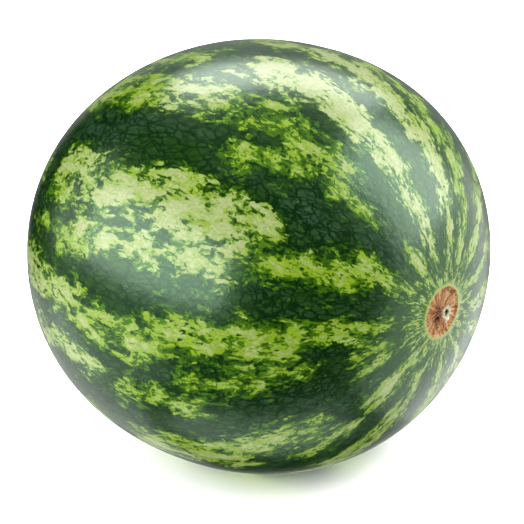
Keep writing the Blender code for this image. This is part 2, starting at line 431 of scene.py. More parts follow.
def wrapped_grid(name, turns, rows, shape):
    """A grid rolled up into a closed skin: its rows follow the profile and its columns go round the axis."""
    deselect()
    bpy.ops.mesh.primitive_grid_add(x_subdivisions=turns, y_subdivisions=rows, size=2)
    piece = bpy.context.object
    piece.name = piece.data.name = name
    flat = points_of(piece.data)
    around = (flat[:, 0] + 1) * math.pi
    profile = (flat[:, 1] + 1) / 2
    set_points(piece.data, shape(around, profile))
    keep_values(piece.data, "profile", "FLOAT", profile)
    bpy.ops.object.mode_set(mode="EDIT")
    bpy.ops.mesh.select_all(action="SELECT")
    bpy.ops.mesh.remove_doubles(threshold=0.00002)
    bpy.ops.mesh.normals_make_consistent(inside=False)
    bpy.ops.object.mode_set(mode="OBJECT")
    return piece


def angle_at(radius, width, heaviness):
    """The angle from the nearer end at which the rind is this far from its axis."""
    share = radius / (width / 2 * (1 + heaviness))
    return math.asin(share ** (END_FULLNESS / 2))


def ring_angles(rings, settings):
    """Angles of the rings from the blossom, a quarter of them in the scar and many in the hollow."""
    scar = settings.scar_radius
    width = settings.width
    shares = (0, 0.27, 0.36, 0.88, 1)
    angles = (
        0,
        angle_at(scar, width, BLOSSOM_HEAVINESS),
        angle_at(scar + LIP_WIDTH * 1.6, width, BLOSSOM_HEAVINESS),
        math.pi - angle_at(HOLLOW_RADIUS, width, -BLOSSOM_HEAVINESS),
        math.pi,
    )
    return np.interp(rings, shares, angles)


def scar_steps(radius, scar):
    """How far the scar's plain step, its lip and its dish stand out from the end."""
    foot = scar - SCAR_STEP_WIDTH
    lip = LIP_HEIGHT * (1 - ease(radius, scar, scar + LIP_WIDTH))
    step = (SCAR_STEP + LIP_HEIGHT) * (1 - ease(radius, foot, scar))
    dish = SCAR_DISH * (1 - ease(radius, SEAT_RADIUS, foot))
    return lip - step - dish


def rough(places, scale, octaves):
    """Fractal noise about 0 at each place."""
    return np.array([noise.fractal(Vector(place) * scale, 1.0, 2.0, octaves) for place in places])


def scar_creases(places, around, radius):
    """How deep each place lies in the scar's coarse and fine creases, which run outwards, from 0 to 1."""
    turn = around + 0.22 * np.sin(radius * 420 + 2 * np.sin(around))
    rays = np.stack([np.cos(turn), np.sin(turn), radius * 45], axis=1)
    coarse = np.exp(-((rough(rays, 2.6, 2) / 0.055) ** 2))
    fine = np.exp(-((rough(rays + 7, 6.5, 3) / 0.10) ** 2))
    return coarse, fine


def scar_dents(places):
    """The deep fold beside the flower base, and the swelling under it, at each place in the scar."""
    dents = np.zeros(len(places))
    for height, across, half_across, up, half_up in (SCAR_FOLD, SCAR_SWELLING):
        aside = ((places[:, 1] - across) / half_across) ** 2
        above = ((places[:, 2] - up) / half_up) ** 2
        dents += height * np.exp(-aside - above)
    return dents


def rind_shape(theta, around, settings):
    """Places on the rind, about the middle of the fruit, at angles from the blossom and around its axis."""
    power = 2 / END_FULLNESS
    cosine = np.cos(theta)
    along = np.sign(cosine) * np.abs(cosine) ** power * settings.length / 2
    plain = np.abs(np.sin(theta)) ** power * (1 + BLOSSOM_HEAVINESS * cosine) * settings.width / 2
    sides = np.abs(np.cos(around)) ** SECTION_FULLNESS + np.abs(np.sin(around)) ** SECTION_FULLNESS
    slope = np.arctan2(plain / settings.width, along / settings.length)
    waves = 0.6 * np.cos(5 * around + 0.4) + 0.4 * np.cos(3 * around + 1.9 + np.cos(slope))
    out = plain * sides ** (-1 / SECTION_FULLNESS) + LOBE_HEIGHT * np.sin(slope) ** 2 * waves
    scar = settings.scar_radius
    near = ease(plain, SEAT_RADIUS, scar) * (1 - ease(plain, scar, scar * 2))
    blossom = along > 0
    out = np.where(blossom, out * (1 + SCAR_LEAN * near * np.cos(around - SCAR_LEAN_ANGLE)), out)
    hollow = HOLLOW_DEPTH * (1 - ease(plain, STEM_SEAT_RADIUS, HOLLOW_RADIUS))
    along = np.where(blossom, along + scar_steps(plain, scar), along + hollow)
    flat = settings.height / settings.width
    places = np.stack([along, out * np.cos(around), out * np.sin(around) * flat], axis=1)
    return places, plain


def add_creases(places, plain, around, settings):
    """Sinks the scar's creases into it, and gives how much painted shade each vertex gets in them and in the deep
    fold.
    """
    scar = settings.scar_radius
    chosen = (places[:, 0] > 0) & (plain < scar * 1.1)
    held = places[chosen]
    radius = plain[chosen]
    coarse, fine = scar_creases(held, around[chosen], radius)
    edge = 1 - ease(radius, scar * 0.82, scar)
    inner = ease(radius, SEAT_RADIUS * 0.4, SEAT_RADIUS * 1.2)
    lumps = LUMP_HEIGHT * rough(held, 260, 2) + GRAIN_HEIGHT * rough(held, 900, 3)
    dents = scar_dents(held)
    creases = coarse * COARSE_CREASE_DEPTH + fine * FINE_CREASE_DEPTH
    relief = dents + lumps - inner * creases + CORK_RISE
    places[chosen, 0] += edge * relief
    # Painted shade: the cork darkens in its creases, and most of all in the deep fold beside the flower base
    crease_shade = np.zeros(len(places))
    deep = np.clip(-dents / 0.0012, 0, 1)
    crease_shade[chosen] = np.clip(edge * (inner * (0.75 * coarse + 0.35 * fine) + deep), 0, 1)
    return crease_shade


def hidden_marks():
    """Marks scattered along the unseen bands, as (from, to, up, half width, paleness)."""
    chance = random.Random(MARK_SEED)
    marks = []
    for up, half, start, end in UNSEEN_BANDS:
        at = start
        while at < end:
            reach = chance.uniform(7, 18)
            wide = half * chance.uniform(0.45, 0.95)
            aside = chance.uniform(-0.6, 0.6) * half
            marks.append((at, min(at + reach, end), up + aside, wide, chance.random()))
            at += reach * chance.uniform(0.45, 0.95)
    return marks


def mark_fields(theta, up, radius):
    """How deep in a light mark each vertex lies, and how pale that mark is."""
    mark = np.full(len(theta), MARK_LEAST)
    weight = np.full(len(theta), FAR_WEIGHT)
    pale = weight * FAR_PALENESS
    for start, end, middle, half, paleness in (*SEEN_MARKS, *hidden_marks()):
        past = np.maximum(math.radians(start) - theta, theta - math.radians(end))
        aside = (up - math.radians(middle) + math.pi) % math.tau - math.pi
        off = np.hypot(np.maximum(past + math.radians(half) * 0.5, 0), aside) * radius
        depth = (math.radians(half) * radius - off) / MARK_SLOPE
        mark = np.maximum(mark, depth)
        pull = np.exp(np.clip(depth * 4, -40, 8))
        weight += pull
        pale += pull * paleness
    mark = np.where(mark > 0, MARK_PLATEAU * np.tanh(mark / MARK_PLATEAU), mark * MARK_FALL_SHARE)
    pale /= weight
    return mark + MARK_GROWTH - LIME_GAPS * (1 - np.minimum(pale, 1)), pale


def shape_rind(piece, settings):
    """Moves the sphere's vertices on to the fruit's shape, and stores what the skin's pattern follows."""
    mesh = piece.data
    middle = Vector((-SPOT_AHEAD, 0, settings.height / 2 - SPOT_DEPTH))
    unit = points_of(mesh) - middle
    unit /= np.linalg.norm(unit, axis=1, keepdims=True)
    even = np.arccos(np.clip(unit[:, 0], -1, 1))
    around = np.arctan2(unit[:, 2], unit[:, 1])
    theta = ring_angles(even / math.pi, settings)
    places, plain = rind_shape(theta, around, settings)
    crease_shade = add_creases(places, plain, around, settings)
    places += middle
    places[:, 2] = np.maximum(places[:, 2], 0)
    set_points(mesh, places)
    radius = settings.width / 2
    up = math.pi - around
    mark, pale = mark_fields(theta, up, radius)

    # The material reads where the marks are and the painted shade of the creases, each place as on a globe
    # and as the pattern runs, how far out from the blossom it is, and the ground spot
    outward = ease(plain, settings.scar_radius, HALO_RADIUS)
    blossom = places[:, 0] > 0
    mark = np.where(blossom, np.maximum(mark, HALO - HALO_FALL * outward), mark)
    pale = np.where(blossom, np.maximum(pale, HALO_PALENESS - HALO_PALENESS_FALL * outward), pale)
    keep_values(mesh, "mark", "FLOAT", mark)
    keep_values(mesh, "pale", "FLOAT", pale)
    keep_values(mesh, "crease_shade", "FLOAT", crease_shade)
    rays = np.stack([theta, np.cos(up), np.sin(up)], axis=1) * radius
    girth = np.sin(theta) ** EVENNESS
    keep_values(mesh, "rays", "FLOAT_VECTOR", rays)
    keep_values(mesh, "skin", "FLOAT_VECTOR", rays * np.stack([np.ones(len(girth)), girth, girth], axis=1))
    keep_values(mesh, "reach", "FLOAT", np.where(blossom, plain, 1))
    ground = 1 - ease(np.hypot(places[:, 0] / GROUND_LENGTH, places[:, 1]), GROUND_MIDDLE, GROUND_END)
    keep_values(mesh, "ground", "FLOAT", np.where(places[:, 2] < settings.height / 4, ground, 0))


def rind_material(settings):
    """Waxy watermelon rind.

    The skin is smooth and closed, with a thin natural wax that gives a soft, wide gloss.
    Light marks have lacy edges, because the green fills the skin cell by cell.
    Dark bands show a net of veins.
    """
    made, add = start_material("waxy striped rind")
    skin = add("Attribute", output="Vector", attribute_name="skin")
    mark = add("Attribute", output="Fac", attribute_name="mark")
    pale = add("Attribute", output="Fac", attribute_name="pale")

    # Every pattern is drawn out along the fruit, as the skin grew, and bent by a swirl
    drawn = add("VectorMath", {0: skin, 1: (LENGTH_SHARE, 1, 1)}, operation="MULTIPLY")
    swirl = add(
        "TexNoise",
        {"Vector": drawn, "Scale": scale_of(SWIRL_MM), "Detail": 5, "Roughness": 0.66},
        output="Color",
    )
    centred = add("VectorMath", {0: swirl, 1: (0.5, 0.5, 0.5)}, operation="SUBTRACT")
    pushed = add("VectorMath", {0: centred, "Scale": SWIRL_PUSH}, operation="SCALE")
    wavy = add("VectorMath", {0: drawn, 1: pushed})

    # Skin cells, with thin veins between them that end short of the scar
    cells = add("TexVoronoi", {"Vector": wavy, "Scale": scale_of(CELL_MM)})
    edges = add("TexVoronoi", {"Vector": wavy, "Scale": scale_of(CELL_MM)}, feature="DISTANCE_TO_EDGE")
    between = add(
        "MapRange", {"Value": edges, "From Min": 0.015, "From Max": 0.15, "To Min": 1, "To Max": 0}
    )
    reach = add("Attribute", output="Fac", attribute_name="reach")
    away = add("MapRange", {"Value": reach, "From Min": VEINS_BEGIN, "From Max": VEINS_FULL})

    # Lace: fractal noise, down to below 1 mm, breaks the marks up
    lace = add("TexNoise", {"Vector": wavy, "Scale": scale_of(LACE_MM), "Detail": 6, "Roughness": 0.6})
    lace = add("Math", {0: lace, 1: 0.5}, operation="SUBTRACT")
    field = add("Math", {0: lace, 1: LACE_STRENGTH, 2: mark}, operation="MULTIPLY_ADD")

    # The green fills the skin by small cells, leaves dark islands and light flecks in the middles of wider
    # ones, and frays the edges, most of all those of lime marks
    grains = add("TexVoronoi", {"Vector": wavy, "Scale": scale_of(GRAIN_MM)}, output="Color")
    grain = add("SeparateColor", {"Color": grains})
    grain = add("Math", {0: grain, 1: 0.5}, operation="SUBTRACT")
    field = add("Math", {0: grain, 1: GRAIN_STRENGTH, 2: field}, operation="MULTIPLY_ADD")
    dots = add("MapRange", {"Value": cells, "From Min": 0.16, "From Max": 0.34, "To Min": 1, "To Max": 0})
    tone = add("SeparateColor", {"Color": cells.node.outputs["Color"]}, output="Green")
    tone = add("MapRange", {"Value": tone, "To Min": 0.8, "To Max": -1.9})
    limed = add("MapRange", {"Value": pale, "From Min": 0.9, "From Max": 0.3})
    tone = add("Math", {0: tone, 1: limed}, operation="MULTIPLY")
    dots = add("Math", {0: dots, 1: tone}, operation="MULTIPLY")
    field = add("Math", {0: field, 1: dots})
    thread = add("TexNoise", {"Vector": wavy, "Scale": scale_of(THREAD_MM), "Detail": 3, "Roughness": 0.6})
    thread = add("Math", {0: thread, 1: 0.5}, operation="SUBTRACT")
    fray = add("Math", {0: limed, 1: LIME_THREAD_STRENGTH, 2: THREAD_STRENGTH}, operation="MULTIPLY_ADD")
    field = add("Math", {0: thread, 1: fray, 2: field}, operation="MULTIPLY_ADD")
    field = add("Math", {0: between, 1: CELL_EDGE_STRENGTH, 2: field}, operation="MULTIPLY_ADD")

    # Dark bands: thin veins come and go, and wider ones wander between them, over a murky green that turns
    # greyer in parts
    coarse = add(
        "TexVoronoi", {"Vector": wavy, "Scale": scale_of(WIDE_CELL_MM)}, feature="DISTANCE_TO_EDGE"
    )
    coarse = add(
        "MapRange", {"Value": coarse, "From Min": 0.01, "From Max": 0.09, "To Min": 1, "To Max": 0}
    )
    patchy = add("TexNoise", {"Vector": drawn, "Scale": scale_of(PATCH_MM), "Detail": 3})
    patchy = add("MapRange", {"Value": patchy, "From Min": 0.38, "From Max": 0.62, "To Min": 0.4})
    thin = add("Math", {0: between, 1: patchy}, operation="MULTIPLY")
    net = add("Math", {0: thin, 1: coarse}, operation="MAXIMUM")
    net = add("Math", {0: net, 1: away}, operation="MULTIPLY")
    murk = add("TexNoise", {"Vector": wavy, "Scale": scale_of(MURK_MM), "Detail": 4, "Roughness": 0.75})
    murk = add(
        "MapRange", {"Value": murk, "From Min": 0.35, "From Max": 0.65, "To Min": -0.3, "To Max": 0.45}
    )
    net = add("Math", {0: net, 1: 1.3, 2: murk}, operation="MULTIPLY_ADD")
    net = add("Clamp", {"Value": net})
    drift = add("TexNoise", {"Vector": drawn, "Scale": scale_of(DRIFT_MM), "Detail": 3})
    drift = add("MapRange", {"Value": drift, "From Min": 0.32, "From Max": 0.58})
    inner = add("MapRange", {"Value": mark, "From Min": -0.3, "From Max": -1.1})
    drift = add("Math", {0: drift, 1: inner}, operation="MULTIPLY")
    green = add(
        "Mix", {0: drift, 6: opaque(settings.dark), 7: opaque(settings.dull)}, output=2, data_type="RGBA"
    )
    green = add("Mix", {0: net, 6: green, 7: opaque(settings.vein)}, output=2, data_type="RGBA")

    # From dark green through leaf green, wider round lime marks, and lime to blotches of cream
    leafy = add("Math", {0: limed, 1: 0.3, 2: field}, operation="MULTIPLY_ADD")
    leafy = add(
        "MapRange", {"Value": leafy, "From Min": -0.42, "From Max": -0.02}, interpolation_type="SMOOTHSTEP"
    )
    limy = add(
        "MapRange", {"Value": field, "From Min": -0.04, "From Max": 0.34}, interpolation_type="SMOOTHSTEP"
    )
    blotch = add("TexNoise", {"Vector": wavy, "Scale": scale_of(BLOTCH_MM), "Detail": 6, "Roughness": 0.66})
    blotch = add("Math", {0: blotch, 1: 0.5}, operation="SUBTRACT")
    core = add("Math", {0: blotch, 1: 4.2, 2: field}, operation="MULTIPLY_ADD")
    core = add("Math", {0: pale, 1: 0.9, 2: core}, operation="MULTIPLY_ADD")
    creamy = add(
        "MapRange", {"Value": core, "From Min": 0.55, "From Max": 2.1}, interpolation_type="SMOOTHSTEP"
    )
    creamy = add("Math", {0: creamy, 1: limy}, operation="MULTIPLY")
    thinner = add("MapRange", {"Value": blotch, "From Min": -0.1, "From Max": 0.08, "To Min": 0.45})
    leafy = add("Math", {0: leafy, 1: thinner}, operation="MULTIPLY")
    colour = add("Mix", {0: leafy, 6: green, 7: opaque(settings.mid)}, output=2, data_type="RGBA")
    colour = add("Mix", {0: limy, 6: colour, 7: opaque(settings.lime)}, output=2, data_type="RGBA")
    colour = add("Mix", {0: creamy, 6: colour, 7: opaque(settings.cream)}, output=2, data_type="RGBA")

    # Light that turns back inside the dark skin tints its gloss
    haze = add("Mix", {0: limy, 6: opaque(settings.gloss), 7: (1, 1, 1, 1)}, output=2, data_type="RGBA")

    # Where the fruit lay on the ground it stayed pale
    ground = add("Attribute", output="Fac", attribute_name="ground")
    ground = add("Math", {0: lace, 1: 1.2, 2: ground}, operation="MULTIPLY_ADD")
    ground = add("MapRange", {"Value": ground, "From Min": 0.3, "From Max": 0.9, "To Max": 0.85})
    colour = add("Mix", {0: ground, 6: colour, 7: opaque(settings.ground)}, output=2, data_type="RGBA")

    # Fine speckle over everything
    speck = add("TexNoise", {"Vector": wavy, "Scale": scale_of(SPECK_MM), "Detail": 4, "Roughness": 0.8})
    speck = add(
        "MapRange", {"Value": speck, "From Min": 0.3, "From Max": 0.7, "To Min": 0.7, "To Max": 1.3}
    )
    colour = add("VectorMath", {0: colour, "Scale": speck}, operation="SCALE")

    colour, roughness, height, wax = add_cork(add, settings, skin, reach, colour)
    bump = add("Bump", {"Height": height, "Strength": 1.0, "Distance": 1.0})
    shader = add(
        "BsdfPrincipled",
        {
            "Base Color": colour,
            "Roughness": roughness,
            "Normal": bump,
            "IOR": 1.5,
            "Specular IOR Level": 1.0,
            "Specular Tint": haze,
            "Coat Weight": wax,
            "Coat Roughness": WAX_ROUGHNESS,
            "Coat Normal": bump,
        },
    )
    add("OutputMaterial", {"Surface": shader})
    return made


def add_cork(add, settings, skin, reach, colour):
    """Adds the scar's dry cork and its lip to the rind, and gives colour, roughness, relief and wax."""
    crease_shade = add("Attribute", output="Fac", attribute_name="crease_shade")
    rays = add("Attribute", output="Vector", attribute_name="rays")
    rays = add("VectorMath", {0: rays, 1: (1.6, 1, 1)}, operation="MULTIPLY")
    grain = add(
        "TexNoise", {"Vector": rays, "Scale": scale_of(CORK_STREAK_MM), "Detail": 5, "Roughness": 0.6}
    )
    edge = add(
        "MapRange",
        {
            "Value": grain,
            "From Min": 0.3,
            "From Max": 0.7,
            "To Min": -EDGE_RAGGEDNESS,
            "To Max": EDGE_RAGGEDNESS,
        },
    )
    ragged = add("Math", {0: reach, 1: edge})
    scar = settings.scar_radius
    corky, lipped, fresh = (
        add(
            "MapRange",
            {"Value": ragged, "From Min": scar + end, "From Max": scar + fade, "To Max": share},
            interpolation_type="SMOOTHSTEP",
        )
        for fade, end, share in (CORK_EDGE, LIP_EDGE, FRESH_EDGE)
    )
    # Painted highlight: the raised streaks of the cork, where its relief is highest, take the light cork colour
    highlight_streak = add("MapRange", {"Value": grain, "From Min": 0.42, "From Max": 0.62})
    cork = add(
        "Mix",
        {0: highlight_streak, 6: opaque(settings.cork), 7: opaque(settings.cork_highlight)},
        output=2,
        data_type="RGBA",
    )
    # Painted shade: the low streaks and the creases take the dark cork colour
    sunk_shade = add("MapRange", {"Value": grain, "From Min": 0.42, "From Max": 0.32, "To Max": 0.7})
    sunk_shade = add("Math", {0: sunk_shade, 1: crease_shade}, operation="MAXIMUM")
    cork = add("Mix", {0: sunk_shade, 6: cork, 7: opaque(settings.cork_shade)}, output=2, data_type="RGBA")
    colour = add("Mix", {0: fresh, 6: colour, 7: opaque(settings.fresh)}, output=2, data_type="RGBA")
    colour = add("Mix", {0: lipped, 6: colour, 7: opaque(settings.lip)}, output=2, data_type="RGBA")
    colour = add("Mix", {0: corky, 6: colour, 7: cork}, output=2, data_type="RGBA")
    roughness = add("MapRange", {"Value": corky, "To Min": SKIN_ROUGHNESS, "To Max": CORK_ROUGHNESS})
    wax = add("MapRange", {"Value": corky, "To Min": WAX_WEIGHT, "To Max": 0})
    ripple = add("TexNoise", {"Vector": skin, "Scale": scale_of(RIPPLE_MM), "Detail": 4, "Roughness": 0.6})
    height = add("Math", {0: ripple, 1: RIPPLE_HEIGHT}, operation="MULTIPLY")
    relief = add("Math", {0: grain, 1: STREAK_HEIGHT}, operation="MULTIPLY")
    height = add("Mix", {0: corky, 2: height, 3: relief})
    return colour, roughness, height, wax


class MELON_OT_make_rind(Operator):
    """Models the rind with its scar and hollow, and gives it its striped, waxy finish"""

    bl_idname = "melon.make_rind"
    bl_label = "Rind"

    def execute(self, context):
        settings = context.scene.melon_rind
        deselect()
        bpy.ops.mesh.primitive_uv_sphere_add(
            segments=settings.segments,
            ring_count=RINGS,
            radius=settings.width / 2,
            location=(-SPOT_AHEAD, 0, settings.height / 2 - SPOT_DEPTH),
            rotation=(0, math.radians(90), 0),
        )
        bpy.ops.object.transform_apply(location=True, rotation=True, scale=True)
        piece = context.object
        piece.name = piece.data.name = "rind"
        shape_rind(piece, settings)
        bpy.ops.object.shade_smooth()
        piece.data.materials.append(rind_material(settings))
        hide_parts("fruit")
        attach(piece, "root")
        return {"FINISHED"}


def flower_base_shape(around, profile):
    """Places on the torn cup of the flower base."""
    steps, heights, radii = zip(*BASE_PROFILE)
    height = np.interp(profile, steps, heights)
    radius = np.interp(profile, steps, radii)
    torn = ease(profile, 0.22, 0.42) * (1 - ease(profile, 0.6, 0.78))
    teeth = 0.05 * np.cos(5 * around + 1) + 0.07 * np.cos(11 * around + 2.2 * np.cos(2 * around))
    teeth += 0.08 * np.cos(23 * around + 2 * np.cos(3 * around)) - 0.10
    fold = 0.06 * np.cos(5 * around + 0.6 * np.cos(around)) + 0.06 * np.cos(12 * around + 1)
    radius = radius * (1 + fold * (0.4 + 0.6 * torn))
    height = (height + torn * teeth) * BASE_RIM
    lean = BASE_LEAN * (height / BASE_RIM) ** 2
    narrow = 1 - (1 - HOLE_NARROWNESS) * ease(profile, 0.5, 0.66)
    places = np.stack([height, radius * narrow * np.cos(around), radius * np.sin(around) + lean], axis=1)
    crumple = np.stack([rough(places + shift, 900, 3) for shift in (0, 0.1, 0.2)], axis=1)
    places += crumple * BASE_CRUMPLE * ease(radius, 0, 0.001)[:, None]
    return places + (FLOWER_BASE_BOX[0].x, 0, AXIS_HEIGHT)


def add_shreds():
    """Thin torn points that stand out from the rim."""
    chance = random.Random(SHRED_SEED)
    shreds = []
    for count in range(SHREDS):
        around = math.tau * (count + chance.uniform(-0.3, 0.3)) / SHREDS
        lean = math.radians(chance.uniform(*SHRED_LEANS))
        length = chance.uniform(*SHRED_LENGTHS)
        side = Vector((0, math.cos(around), math.sin(around)))
        away = Vector((math.cos(lean), 0, 0)) + side * math.sin(lean)
        foot = Vector((FLOWER_BASE_BOX[0].x + BASE_RIM * 0.85, 0, AXIS_HEIGHT + BASE_LEAN * 0.7))
        deselect()
        bpy.ops.mesh.primitive_cone_add(
            vertices=8,
            radius1=chance.uniform(*SHRED_RADII),
            radius2=SHRED_TIP,
            depth=length,
            location=foot + side * SHRED_CIRCLE + away * length * 0.35,
            rotation=away.to_track_quat("Z", "X").to_euler(),
            scale=(1, 0.45, 1),
        )
        bpy.ops.object.transform_apply(location=True, rotation=True, scale=True)
        shreds.append(bpy.context.object)
    return shreds


def add_tail(settings):
    """The torn strip that hangs from the rim, towards the floor."""
    deselect()
    bpy.ops.mesh.primitive_grid_add(x_subdivisions=8, y_subdivisions=20, size=2)
    piece = bpy.context.object
    flat = points_of(piece.data)
    across = flat[:, 0]
    along = (flat[:, 1] + 1) / 2
    half = TAIL_HALF_WIDTH - TAIL_NARROWING * along**1.5
    out = TAIL_START + along * TAIL_LENGTH
    rise = BASE_RIM * 0.95 - TAIL_DROP * ease(along, 0.2, 1) + TAIL_WAVE * np.sin(along * 7)
    curl = TAIL_CURL * across**2
    turn = TAIL_ANGLE + across * half / out
    places = np.stack([rise - curl, out * np.cos(turn), out * np.sin(turn)], axis=1)
    places[:, 0] += TAIL_CRUMPLE * rough(places, 900, 3)
    set_points(piece.data, places + (FLOWER_BASE_BOX[0].x, 0, AXIS_HEIGHT))
    thick = piece.modifiers.new("wall", "SOLIDIFY")
    thick.thickness = settings.wall
    thick.offset = 0
    bpy.ops.object.modifier_apply(modifier=thick.name)
    return piece


def flower_base_material(settings):
    """Dry papery flower tissue.

    It is dead, bleached and fibrous, so it is matt and pale, with brown streaks of decay.
    Painted shade makes it browner low on its foot, and near black in cracks there and down in its hollow.
    """
    made, add = start_material("dry papery flower tissue")
    place = add("TexCoord", output="Object")
    profile = add("Attribute", output="Fac", attribute_name="profile")
    out = add("SeparateXYZ", {"Vector": place})
    low = FLOWER_BASE_BOX[0].x
    # Painted shade low on the foot, fading out between half and nine tenths of the rim's height
    foot = add(
        "MapRange", {"Value": out, "From Min": low + BASE_RIM * 0.9, "From Max": low + BASE_RIM * 0.5}
    )
    # Painted shade: near black down in the hollow
    deep = add("MapRange", {"Value": profile, "From Min": 0.6, "From Max": 0.68})
    fibre = add("VectorMath", {0: place, 1: (0.3, 1, 1)}, operation="MULTIPLY")
    fibre = add(
        "TexNoise", {"Vector": fibre, "Scale": scale_of(BASE_FIBRE_MM), "Detail": 5, "Roughness": 0.7}
    )
    brown = add("MapRange", {"Value": fibre, "From Min": 0.55, "From Max": 0.7})
    brown = add("Math", {0: brown, 1: 0.45}, operation="MULTIPLY")
    # Painted shade: the foot turns brown, streaked by the fibres
    foot_shade = add("MapRange", {"Value": fibre, "From Min": 0.38, "From Max": 0.52, "To Min": 0.35})
    foot_shade = add("Math", {0: foot_shade, 1: foot}, operation="MULTIPLY")
    brown = add("Math", {0: foot_shade, 1: brown}, operation="MAXIMUM")
    # Painted shade: near black cracks on the foot
    foot_crack_shade = add("MapRange", {"Value": fibre, "From Min": 0.56, "From Max": 0.66})
    foot_crack_shade = add("Math", {0: foot_crack_shade, 1: foot}, operation="MULTIPLY")
    deep = add("Math", {0: deep, 1: foot_crack_shade}, operation="MAXIMUM")
    # The brown here is partly decayed fibres and partly painted shade low on the foot
    colour = add(
        "Mix", {0: brown, 6: opaque(settings.pale), 7: opaque(settings.shade)}, output=2, data_type="RGBA"
    )
    colour = add("Mix", {0: deep, 6: colour, 7: opaque(settings.inside)}, output=2, data_type="RGBA")
    relief = add("Bump", {"Height": fibre, "Strength": 0.6, "Distance": 0.0003})
    shader = add("BsdfPrincipled", {"Base Color": colour, "Normal": relief, "Roughness": 0.78})
    add("OutputMaterial", {"Surface": shader})
    return made


class MELON_OT_make_flower_base(Operator):
    """Models the torn, papery flower base in the middle of the scar"""

    bl_idname = "melon.make_flower_base"
    bl_label = "Dried flower base"

    def execute(self, context):
        settings = context.scene.melon_flower_base
        piece = wrapped_grid("flower_base", turns=120, rows=48, shape=flower_base_shape)
        parts = [*add_shreds(), add_tail(settings)]
        deselect()
        for part in (*parts, piece):
            part.select_set(True)
        context.view_layer.objects.active = piece
        bpy.ops.object.join()
        bpy.ops.object.shade_smooth()
        piece.data.materials.append(flower_base_material(settings))
        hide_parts("dried_flower_base")
        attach(piece, "root")
        return {"FINISHED"}


def stem_shape(around, profile):
    """Places on the stem, which dries out and shrivels between its ridges."""
    steps, lengths, radii = zip(*STEM_PROFILE)
    along = np.interp(profile, steps, lengths)
    radius = np.interp(profile, steps, radii)
    side = 1 - ease(profile, 0.72, 0.85)
    turn = around + STEM_TWIST * along
    ridges = 0.085 * np.cos(STEM_RIDGES * turn) + 0.025 * np.cos(2 * STEM_RIDGES * turn + 1)
    fibres = 0.018 * np.cos(19 * turn + 0.8 * np.cos(3 * turn)) + 0.010 * np.cos(37 * turn)
    radius = radius * (1 + (ridges + fibres * side) * (0.35 + 0.65 * ease(radius, 0, 0.003)))
    wrinkle = np.stack([along * 0.006, radius * np.cos(around), radius * np.sin(around)], axis=1)
    radius += STEM_WRINKLE * side * rough(wrinkle, 600, 3)
    length = along * (STEM_BOX[1].x - STEM_BOX[0].x)
    length += CUT_ROUGHNESS * (1 - side) * rough(wrinkle + 0.1, 1500, 3)
    bend = STEM_BEND * along**2
    middle = (STEM_BOX[0].y + STEM_BOX[1].y) / 2
    return np.stack([
        STEM_BOX[1].x - length,
        middle + radius * np.sin(around),
        AXIS_HEIGHT + bend + radius * np.cos(around),
    ], axis=1)


def stem_material(settings):
    """Drying stem.

    Its skin turns from olive green to straw brown and stays matt.
    The cut end shows pale fibres in a darker ring.
    """
    made, add = start_material("drying ridged stem")
    place = add("TexCoord", output="Object")
    profile = add("Attribute", output="Fac", attribute_name="profile")
    cut = add("MapRange", {"Value": profile, "From Min": 0.71, "From Max": 0.75})
    rim = add("Math", {0: profile, 1: 0.85, 2: 0.02}, operation="COMPARE")
    fibre = add("VectorMath", {0: place, 1: (0.12, 1, 1)}, operation="MULTIPLY")
    fibre = add(
        "TexNoise", {"Vector": fibre, "Scale": scale_of(STEM_FIBRE_MM), "Detail": 5, "Roughness": 0.68}
    )
    patch = add("TexNoise", {"Vector": place, "Scale": scale_of(STEM_PATCH_MM), "Detail": 4})
    dried = add("Math", {0: fibre, 1: patch})
    dried = add("MapRange", {"Value": dried, "From Min": 0.82, "From Max": 1.18})
    skin = add(
        "Mix", {0: dried, 6: opaque(settings.green), 7: opaque(settings.brown)}, output=2, data_type="RGBA"
    )
    pores = add("TexVoronoi", {"Vector": place, "Scale": scale_of(VESSEL_MM)})
    pores = add("MapRange", {"Value": pores, "From Min": 0.1, "From Max": 0.5})
    pith = add(
        "Mix", {0: pores, 6: opaque(settings.brown), 7: opaque(settings.cut)}, output=2, data_type="RGBA"
    )
    pith = add("Mix", {0: rim, 6: pith, 7: opaque(settings.ring)}, output=2, data_type="RGBA")
    colour = add("Mix", {0: cut, 6: skin, 7: pith}, output=2, data_type="RGBA")
    relief = add("Bump", {"Height": fibre, "Strength": 0.7, "Distance": 0.0004})
    shader = add("BsdfPrincipled", {"Base Color": colour, "Normal": relief, "Roughness": 0.72})
    add("OutputMaterial", {"Surface": shader})
    return made


class MELON_OT_make_stem(Operator):
    """Models the short, ridged, drying stem that was cut off"""

    bl_idname = "melon.make_stem"
    bl_label = "Cut stem"

    def execute(self, context):
        settings = context.scene.melon_stem
        piece = wrapped_grid("stem", turns=120, rows=72, shape=stem_shape)
        bpy.ops.object.shade_smooth()
        piece.data.materials.append(stem_material(settings))
        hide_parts("cut_stem")
        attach(piece, "root")
        return {"FINISHED"}


def direction(right, up):
    """Unit vector towards a place that many degrees right of the camera, and up."""
    around = CAMERA_AROUND + math.radians(right)
    above = math.radians(up)
    level = math.cos(above)
    return Vector((level * math.sin(around), -level * math.cos(around), math.sin(above)))


def add_floor():
    """A sheet of white paper, which takes the fruit's shadow and doesn't show in its gloss."""
    deselect()
    bpy.ops.mesh.primitive_plane_add(size=FLOOR_SIZE)
    floor = bpy.context.object
    floor.name = floor.data.name = "floor"
    made, add = start_material("white paper sweep")
    shader = add("BsdfDiffuse", {"Color": opaque((PAPER_WHITENESS, PAPER_WHITENESS, PAPER_WHITENESS))})
    add("OutputMaterial", {"Surface": shader})
    floor.data.materials.append(made)
    floor.visible_glossy = False
    floor.visible_diffuse = False
    floor.visible_shadow = False
    return floor


